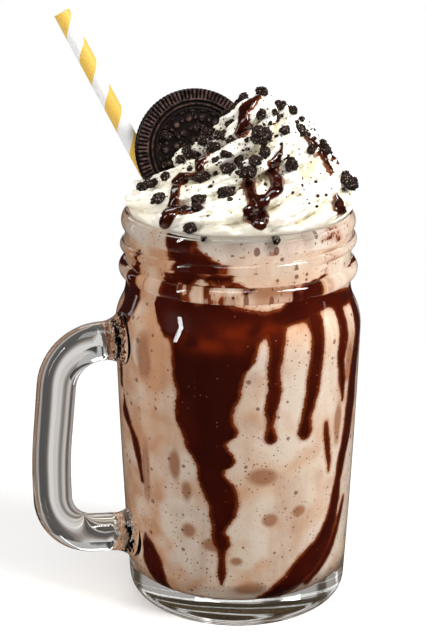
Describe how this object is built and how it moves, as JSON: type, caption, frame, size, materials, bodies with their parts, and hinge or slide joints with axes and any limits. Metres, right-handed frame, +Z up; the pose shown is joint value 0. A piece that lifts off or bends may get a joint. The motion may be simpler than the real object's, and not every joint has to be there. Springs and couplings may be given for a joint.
{
  "type": "milkshake in a handled jar",
  "caption": "Chocolate-streaked milkshake in a handled screw-neck glass jar, with piped cream, a sandwich cookie and a paper straw.",
  "frame": {"origin": "centre of the jar's foot, on the surface it stands on", "axes": "+Z up along the jar's axis; the handle points along -X"},
  "size_m": [0.1271, 0.0926, 0.2224],
  "materials": {
    "clear_glass": "gloss",
    "shake": "gloss",
    "cream": "satin",
    "sauce": "gloss",
    "wafer": "matte",
    "filling": "matte",
    "straw_paper": "satin"
  },
  "bodies": {
    "root": {"jar": "clear_glass", "milkshake": "shake", "whipped_cream": "cream", "cookie_front": "wafer", "cookie_filling": "filling", "cookie_back": "wafer", "straw": "straw_paper"}
  },
  "joints": []
}
